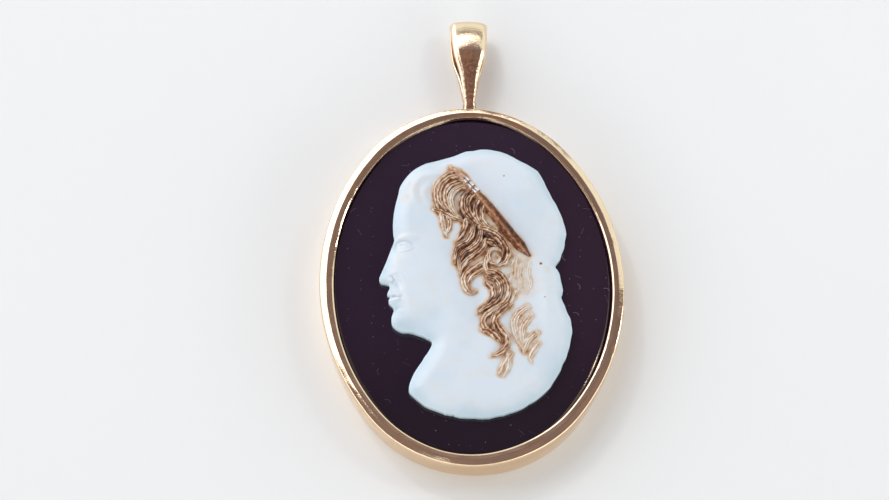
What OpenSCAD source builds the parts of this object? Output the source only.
// Oval hardstone cameo pendant: a layered stone carved with a classical head in profile,
// held in a polished gold bezel that has a tapered bail soldered to its top.
// Millimetres. The pendant lies on its back: +Z is its face, +Y runs up to the bail.

/* [Stone] */
// Width of the oval stone
stone_w = 30; // [24:0.5:36]
// Height of the oval stone
stone_h = 40; // [34:0.5:48]
// Thickness of the dark layer, which is the carving's background
dark_t = 2.3; // [1.8:0.1:3.5]
// Width of the bevel ground round the dark layer, under the rim
stone_bevel_w = 0.55; // [0.45:0.05:0.7]
// Height of that bevel
stone_bevel_h = 0.4; // [0.2:0.05:0.6]
// Thickness of the white layer, out of which the head is carved
white_t = 1.3; // [1:0.05:1.8]
// Thickness of the brown layer, left on the curls and the headband
brown_t = 0.6; // [0.4:0.05:0.9]

/* [Bezel] */
// Thickness of the bezel's wall beside the stone
wall = 1.1; // [0.8:0.05:1.4]
// Gap between the stone and the metal
seat_gap = 0.05; // [0.03:0.01:0.1]
// Height of the rim above the dark layer's face
rim_stand = 0.45; // [0.35:0.05:0.8]
// How far the rim is turned in over the stone's edge
lip_over = 0.4; // [0.3:0.05:0.45]
// Width of the bright bevel along the inside of the rim
lip_bevel = 0.16; // [0.12:0.02:0.3]
// Width of the rounded shoulder along the outside of the rim
shoulder_w = 0.45; // [0.3:0.05:0.6]
// How much narrower the bezel is at its back, on each side
back_in = 0.3; // [0.1:0.05:0.4]
// Width of the ledge under the stone
ledge_w = 1.2; // [0.8:0.1:2]
// Thickness of the ledge under the stone
ledge_t = 0.6; // [0.5:0.1:1]

/* [Bail] */
// Length of the bail above the bezel
bail_l = 11.7; // [9:0.1:13]
// Width of the bail at its top
bail_w = 4.2; // [3:0.1:5]
// Width of the bail at its soldered foot
bail_foot_w = 1.1; // [1:0.1:1.8]
// Depth of the bail's loop from front to back
bail_d = 3.6; // [3.2:0.1:4.2]
// Depth of the bail at its soldered foot
bail_foot_d = 1.5; // [1.2:0.1:1.9]
// Thickness of the strip that the bail is bent from
bail_strip = 0.7; // [0.5:0.05:0.9]
// Height of the bail's deepest place above the bezel
bail_mid_l = 7.3; // [6:0.1:8]
// Radius of the bail's round top, seen from the side
bail_top_r = 1; // [0.9:0.05:1.4]
// How much the bail's front, back and top are crowned across their width
bail_crown = 0.3; // [0.15:0.05:0.4]

/* [Carving] */
// Clear dark field above the hair
field_top = 3.9; // [3:0.1:6]
// Clear dark field below the bust
field_foot = 3.8; // [3:0.1:6]
// Clear dark field in front of the face
field_face = 4.8; // [3.5:0.1:7]
// Clear dark field behind the hair
field_back = 4.3; // [3.5:0.1:7]
// Height of the upright cut edge round the carving
edge_rise = 0.35; // [0.2:0.05:0.6]
// Distance over which the surface rounds up from that edge
edge_round = 2.2; // [1.2:0.1:3]
// Radius of a lock of hair
lock_r = 0.5; // [0.35:0.05:0.6]
// Width of the headband
band_w = 1.1; // [0.7:0.1:1.4]

/* [Hidden] */
$fn = 96;

gold = [0.86, 0.66, 0.46];
dark = [0.15, 0.10, 0.16];
white = [0.84, 0.89, 0.93];
brown = [0.48, 0.29, 0.17];

// Levels above the bezel's back
stone_back = ledge_t + seat_gap;
stone_face = stone_back + dark_t;
rim_top = stone_face + rim_stand;
brown_base = stone_face + white_t;
brown_top = brown_base + brown_t;

// The bezel's outside, and the oval's centre below the middle of the whole pendant
bezel_h = stone_h + 2 * (seat_gap + wall);
oval_y = -bail_l / 2;

// The oval is four arcs, one round each end and one along each side. They meet tangentially on
// the slant lines of 3-4-5 triangles, which join the arcs' centres.
slant = [0.8, 0.6];
taller = (stone_h - stone_w) / 2;
side_c = 2 * taller;
end_c = 1.5 * taller;
side_r = stone_w / 2 + 2 * taller;
end_r = stone_w / 2 - taller / 2;
wedge_r = 3 * side_r;

// Repeats a section round the oval. Its x is the distance out from the stone's edge, its y the height.
module round_oval() {
    for (turn = [0, 180])
        rotate(turn) {
            intersection() {
                translate([-side_c, 0, 0])
                    rotate(180)
                        revolved(side_r)
                            children();
                linear_extrude(2 * rim_top)
                    polygon([
                        [-side_c, 0],
                        [-side_c, 0] + wedge_r * [slant.x, -slant.y],
                        [-side_c, 0] + wedge_r * slant
                    ]);
            }
            intersection() {
                translate([0, end_c, 0])
                    revolved(end_r)
                        children();
                linear_extrude(2 * rim_top)
                    polygon([
                        [0, end_c],
                        [0, end_c] + wedge_r * slant,
                        [0, end_c] + wedge_r * [-slant.x, slant.y]
                    ]);
            }
        }
}

// Revolves a section at an arc's radius, cut off at the arc's centre
module revolved(radius) {
    rotate_extrude()
        intersection() {
            translate([radius, 0])
                children();
            square([2 * radius, 2 * rim_top]);
        }
}

// Bezel: wall, ledge under the stone, and rim turned in over the stone's bevel
out = seat_gap + wall;
lip_x = seat_gap - lip_over;
bevel_slope = stone_bevel_h / stone_bevel_w;
lip_under = rim_top - rim_stand - (stone_bevel_w - lip_over) * bevel_slope + 2 * seat_gap;
land_fall = 0.04;
lip_fall = 0.16;
land_z = rim_top - land_fall;
shoulder_z = rim_top - shoulder_w;

module bezel_section() {
    polygon([
        [-ledge_w, 0],
        [out - back_in, 0],
        [out, shoulder_z],
        for (turn = [15:15:75]) [
            out - shoulder_w + shoulder_w * cos(turn),
            shoulder_z + (land_z - shoulder_z) * sin(turn)
        ],
        [out - shoulder_w, land_z],
        [(out - shoulder_w + lip_x + lip_bevel) / 2, rim_top],
        [lip_x + lip_bevel, land_z],
        [lip_x, land_z - lip_fall],
        [lip_x, lip_under],
        [seat_gap, stone_face - stone_bevel_h + seat_gap],
        [seat_gap, ledge_t],
        [-ledge_w, ledge_t]
    ]);
}

// Bail: an almond-shaped loop from the side, tapering from the front, crowned across its width
bail_z = max(bail_d / 2, rim_top / 2) + seat_gap;
loop_r = bail_d / 2;
foot_r = bail_foot_d / 2;
foot_y = bezel_h / 2 - wall / 2 + foot_r;
mid_y = bezel_h / 2 + bail_mid_l;
top_y = bezel_h / 2 + bail_l;
eye_foot_r = foot_r / 2;
crown_cut = 0.03;
crown_r = (bail_w * bail_w / 4 + bail_crown * bail_crown) / (2 * bail_crown);

// The long arcs of its front and back touch the round top from inside
tip_y = top_y - bail_top_r;
long_r = ((tip_y - mid_y) * (tip_y - mid_y) / (loop_r - bail_top_r) + loop_r + bail_top_r) / 2;
touch = asin((tip_y - mid_y) / (long_r - bail_top_r));

// Bail's outline from the front: [share of its length from the foot, share of its width]
BAIL_TAPER = [
    [0.06, 0], [0.12, 0.03], [0.25, 0.18], [0.375, 0.335], [0.48, 0.545],
    [0.565, 0.725], [0.65, 0.82], [0.78, 0.925], [0.9, 0.965], [1.1, 1]
];

// Almond between a foot circle, the deepest place and the round top, drawn smaller by inset
module almond(y1, r1, inset) {
    r2 = loop_r - inset;
    lean = asin((r2 - r1) / (mid_y - y1));
    translate([y1, 0]) circle(r1);
    polygon([
        [y1 - r1 * sin(lean), r1 * cos(lean)],
        [y1 - r1 * sin(lean), -r1 * cos(lean)],
        [mid_y - r2 * sin(lean), -r2 * cos(lean)],
        [mid_y - r2 * sin(lean), r2 * cos(lean)]
    ]);
    translate([mid_y, 0]) circle(r2);
    intersection() {
        translate([mid_y, loop_r - long_r]) circle(long_r - inset, $fn = 4 * $fn);
        translate([mid_y, long_r - loop_r]) circle(long_r - inset, $fn = 4 * $fn);
        translate([mid_y, -bail_d]) square([(long_r - inset) * sin(touch), 2 * bail_d]);
    }
    translate([tip_y, 0]) circle(bail_top_r - inset);
}

// Extrudes a shape drawn in Y and Z across the bail's width
module across(width) {
    translate([-width / 2, 0, bail_z])
        rotate([90, 0, 90])
            linear_extrude(width)
                children();
}

function bail_side(row, side) = [
    side * (bail_foot_w + (bail_w - bail_foot_w) * row[1]) / 2,
    bezel_h / 2 + bail_l * row[0]
];

module bail() {
    difference() {
        intersection() {
            across(2 * bail_w)
                almond(foot_y, foot_r, 0);
            linear_extrude(2 * bail_d)
                polygon([
                    [-bail_foot_w / 2, bezel_h / 2 - wall],
                    [bail_foot_w / 2, bezel_h / 2 - wall],
                    for (row = BAIL_TAPER) bail_side(row, 1),
                    for (row = [len(BAIL_TAPER) - 1:-1:0]) bail_side(BAIL_TAPER[row], -1)
                ]);
            crowned(1);
            crowned(-1);
            translate([0, top_y - crown_r, 0])
                cylinder(h = 2 * bail_d, r = crown_r);
        }
        across(2 * bail_w)
            almond(foot_y + foot_r + bail_strip, eye_foot_r, bail_strip);
    }
}

// Cylinder along the bail whose outside crowns its front or its back
module crowned(side) {
    translate([0, bezel_h / 2 - bail_l, bail_z + side * (loop_r - crown_cut - crown_r)])
        rotate([-90, 0, 0])
            cylinder(h = 3 * bail_l, r = crown_r);
}

// Bezel and bail, soldered into one piece
module setting() {
    color(gold)
        translate([0, oval_y, 0])
            union() {
                round_oval()
                    bezel_section();
                bail();
            }
}

// Dark layer of the stone, seated on the ledge, with a core that reaches across its arcs' joints
core_x = side_r * slant.x - side_c - stone_bevel_w;
core_y = side_r * slant.y - stone_bevel_w;

module dark_layer() {
    color(dark)
        translate([0, oval_y, 0])
            union() {
                round_oval()
                    polygon([
                        [-side_r, stone_back],
                        [0, stone_back],
                        [0, stone_face - stone_bevel_h],
                        [-stone_bevel_w, stone_face],
                        [-side_r, stone_face]
                    ]);
                translate([-core_x, -core_y, stone_back])
                    cube([2 * core_x, 2 * core_y, dark_t]);
            }
}

// The head's box inside the dark field
head_x = lip_over - seat_gap - stone_w / 2 + field_face;
head_y = lip_over - seat_gap - stone_h / 2 + field_foot;
head_w = stone_w / 2 + seat_gap - lip_over - field_back - head_x;
head_h = stone_h / 2 + seat_gap - lip_over - field_top - head_y;

// A place in that box: across from the face's side, up from the bust's foot, as shares of its sizes
function place(spot) = [head_x + spot[0] * head_w, head_y + spot[1] * head_h];

// Outline clockwise from the hairline over the hair and round the bust to the throat: [across, up]
HAIR_EDGE = [
    [0.1, 0.82], [0.11, 0.85], [0.14, 0.885], [0.18, 0.915], [0.24, 0.94], [0.29, 0.95], [0.39, 0.97],
    [0.46, 0.99], [0.57, 1], [0.65, 0.99], [0.74, 0.96], [0.81, 0.935], [0.86, 0.9], [0.9, 0.84],
    [0.94, 0.78], [0.98, 0.7], [0.975, 0.64], [0.95, 0.59], [0.922, 0.555], [0.94, 0.53],
    [0.96, 0.47], [0.95, 0.44], [0.97, 0.4], [1, 0.33], [0.98, 0.25], [0.92, 0.16],
    [0.85, 0.095], [0.72, 0.035], [0.57, 0.005], [0.41, 0.006], [0.26, 0.037], [0.18, 0.074],
    [0.155, 0.105], [0.17, 0.14], [0.22, 0.198], [0.26, 0.24], [0.27, 0.277]
];

// Plain classical profile from the jaw up to the forehead, as shares of the face's height:
// [forward of the hairline, up from the chin]
FACE_EDGE = [
    [-0.1, -0.02], [-0.03, -0.012], [0.012, 0.008], [0.038, 0.04], [0.043, 0.085], [0.03, 0.13],
    [0.031, 0.162], [0.056, 0.19], [0.062, 0.213], [0.05, 0.236], [0.07, 0.255], [0.066, 0.275],
    [0.056, 0.302], [0.062, 0.33], [0.108, 0.342], [0.124, 0.366], [0.116, 0.398], [0.084, 0.48],
    [0.05, 0.58], [0.026, 0.655], [0.032, 0.71], [0.034, 0.8], [0.022, 0.9]
];
face_share = 0.505;
face_h = face_share * head_h;
hairline = place(HAIR_EDGE[0]);

// Swells and hollows of the carved surface: [across, up, half width, half height, share of the white layer]
SWELLS = [
    [0.72, 0.78, 0.26, 0.18, 0.22],
    [0.2, 0.72, 0.2, 0.1, 0.08],
    [0.28, 0.44, 0.14, 0.09, 0.16],
    [0.18, 0.605, 0.07, 0.025, -0.3],
    [0.175, 0.6, 0.035, 0.014, 0.26],
    [0.11, 0.4, 0.04, 0.02, -0.12],
    [0.34, 0.3, 0.13, 0.035, -0.22],
    [0.4, 0.38, 0.1, 0.07, 0.1],
    [0.4, 0.8, 0.1, 0.07, 0.3],
    [0.5, 0.7, 0.09, 0.08, 0.3],
    [0.57, 0.58, 0.1, 0.07, 0.3],
    [0.6, 0.44, 0.06, 0.09, 0.3],
    [0.6, 0.3, 0.06, 0.07, 0.22],
    [0.76, 0.31, 0.07, 0.07, 0.2],
    [0.9, 0.42, 0.1, 0.14, 0.12],
    [0.45, 0.12, 0.3, 0.1, 0.08]
];

// Share of the white layer's thickness that the plain parts of the carving keep
plain_share = 0.78;

// Locks of hair as arcs: [root across, root up, tip across, tip up, bow to the left, thickness, level]
LOCKS = [
    [0.43, 0.88, 0.29, 0.78, -0.35, 1, 1.1],
    [0.43, 0.86, 0.33, 0.75, -0.35, 1, 1.1],
    [0.44, 0.84, 0.4, 0.72, -0.35, 1, 1.1],
    [0.35, 0.75, 0.35, 0.66, -0.15, 0.9, 1],
    [0.46, 0.81, 0.53, 0.68, -0.2, 1, 1.1],
    [0.5, 0.8, 0.54, 0.68, -0.2, 1, 1.1],
    [0.55, 0.78, 0.62, 0.67, -0.3, 1, 1.1],
    [0.46, 0.71, 0.41, 0.64, 0.25, 0.9, 1.05],
    [0.52, 0.69, 0.39, 0.56, 0.12, 1.1, 1.1],
    [0.53, 0.65, 0.42, 0.53, 0.15, 1.1, 1.1],
    [0.53, 0.68, 0.67, 0.6, 0.25, 1, 1.1],
    [0.67, 0.61, 0.59, 0.54, 0.35, 1, 1.1],
    [0.58, 0.65, 0.64, 0.58, 0.3, 0.9, 1.1],
    [0.64, 0.58, 0.6, 0.59, 0.8, 0.7, 1.1],
    [0.51, 0.54, 0.49, 0.45, -0.6, 0.9, 1.05],
    [0.59, 0.53, 0.64, 0.4, 0.25, 1.1, 1.1],
    [0.64, 0.41, 0.52, 0.37, 0.15, 1, 1.1],
    [0.58, 0.47, 0.52, 0.38, 0.3, 0.9, 1.1],
    [0.56, 0.38, 0.6, 0.3, -0.3, 1, 1.05],
    [0.66, 0.39, 0.61, 0.29, -0.25, 1, 1.05],
    [0.61, 0.3, 0.61, 0.22, 0.4, 1, 1],
    [0.68, 0.22, 0.63, 0.15, 0.1, 0.9, 0.95],
    [0.76, 0.4, 0.73, 0.24, -0.25, 0.9, 1],
    [0.82, 0.31, 0.75, 0.24, 0.05, 0.8, 1],
    [0.82, 0.27, 0.78, 0.19, -0.1, 0.8, 0.95],
    [0.28, 0.92, 0.12, 0.83, -0.15, 1.1, 0.52],
    [0.33, 0.88, 0.16, 0.78, -0.1, 1.1, 0.52]
];
lock_steps = 4;
lock_taper = 0.5;

// Headband, straight over the hair: [across, up, share of its width on top]
band_flare = 0.4;
BAND = [[0.38, 0.92, 0.4], [0.45, 0.86, 1], [0.72, 0.645, 1], [0.8, 0.58, 0.3]];

// Smooth closed curve through points
function curve(p, steps) = [
    for (i = [0:len(p) - 1], step = [0:steps - 1])
        let (
            a = p[(i + len(p) - 1) % len(p)],
            b = p[i],
            c = p[(i + 1) % len(p)],
            d = p[(i + 2) % len(p)],
            t = step / steps
        )
        b + (c - a) * t / 2 + (2 * a - 5 * b + 4 * c - d) * pow(t, 2) / 2
            + (3 * b - a - 3 * c + d) * pow(t, 3) / 2
];

head_edge = curve([
    for (spot = HAIR_EDGE) place(spot),
    for (row = FACE_EDGE) [hairline.x - row[0] * face_h, hairline.y + (row[1] - 1) * face_h]
], 3);
head_mid = place([0.53, 0.47]);
rings = 12;
ring_ease = 0.85;

// Distance from a spot to the nearest side of the outline
function side_gap(spot, from, to) = let (
    side = to - from,
    t = max(0, min(1, (spot - from) * side / (side * side)))
) norm(spot - from - t * side);

function inward(spot) = let (
    n = len(head_edge)
) min([for (i = [0:n - 1]) side_gap(spot, head_edge[i], head_edge[(i + 1) % n])]);

function swell(spot, row) = let (
    away = spot - place([row[0], row[1]])
) row[4] * exp(-pow(away.x / (row[2] * head_w), 2) - pow(away.y / (row[3] * head_h), 2));

function carved(spot) = white_t * (plain_share + swell_sum(spot, len(SWELLS) - 1));

function swell_sum(spot, row) = row < 0 ? 0 : swell(spot, SWELLS[row]) + swell_sum(spot, row - 1);

// Height above the dark layer: upright at the outline, then rounding up to the carved surface
function height(spot) = let (
    rest = 1 - min(1, inward(spot) / edge_round)
) edge_rise + (carved(spot) - edge_rise) * sqrt(1 - rest * rest);

// Head and bust as rings of points round head_mid, closed by a wall and a flat base
module head_form() {
    n = len(head_edge);
    base_z = stone_face - white_t;
    function at(ring, i) = 1 + ring * n + i % n;
    points = [
        [head_mid.x, head_mid.y, stone_face + carved(head_mid)],
        for (ring = [1:rings], i = [0:n - 1])
            let (t = pow(ring / rings, ring_ease), spot = head_mid + t * (head_edge[i] - head_mid))
            [spot.x, spot.y, stone_face + height(spot)],
        for (spot = head_edge) [spot.x, spot.y, base_z]
    ];
    faces = [
        for (i = [0:n - 1]) [0, at(0, i), at(0, i + 1)],
        for (ring = [0:rings - 2], i = [0:n - 1]) [at(ring, i), at(ring + 1, i), at(ring + 1, i + 1)],
        for (ring = [0:rings - 2], i = [0:n - 1]) [at(ring, i), at(ring + 1, i + 1), at(ring, i + 1)],
        for (i = [0:n - 1]) [at(rings - 1, i), at(rings, i), at(rings, i + 1), at(rings - 1, i + 1)],
        [for (i = [n - 1:-1:0]) at(rings, i)]
    ];
    polyhedron(points, faces);
}

// Point along a lock: an arc from root to tip, bowed sideways
function lock_point(row, t) = let (
    root = place([row[0], row[1]]),
    run = place([row[2], row[3]]) - root,
    spot = root + t * run + 4 * t * (1 - t) * row[4] * [-run.y, run.x]
) [spot.x, spot.y, stone_face + row[6] * white_t];

module lock(row) {
    for (step = [0:lock_steps - 1])
        hull()
            for (t = [step, step + 1] / lock_steps)
                translate(lock_point(row, t))
                    sphere(lock_r * row[5] * (1 - lock_taper * pow(abs(2 * t - 1), 3)), $fn = 8);
}

module headband() {
    band_h = brown_top - stone_face;
    hull()
        for (row = BAND)
            translate(concat(place([row[0], row[1]]), stone_face))
                cylinder(h = band_h, r1 = band_w, r2 = row[2] * band_w * band_flare, $fn = 16);
}

// The whole carving, and the slice of it that lies in one layer of the stone
module carving(low, high) {
    intersection() {
        union() {
            head_form();
            for (row = LOCKS)
                lock(row);
            headband();
        }
        translate([-stone_w, -stone_h, low])
            cube([2 * stone_w, 2 * stone_h, high - low]);
    }
}

module white_layer() {
    color(white)
        translate([0, oval_y, 0])
            carving(stone_face, brown_base);
}

module brown_layer() {
    color(brown)
        translate([0, oval_y, 0])
            carving(brown_base, brown_top);
}

setting();
dark_layer();
white_layer();
brown_layer();
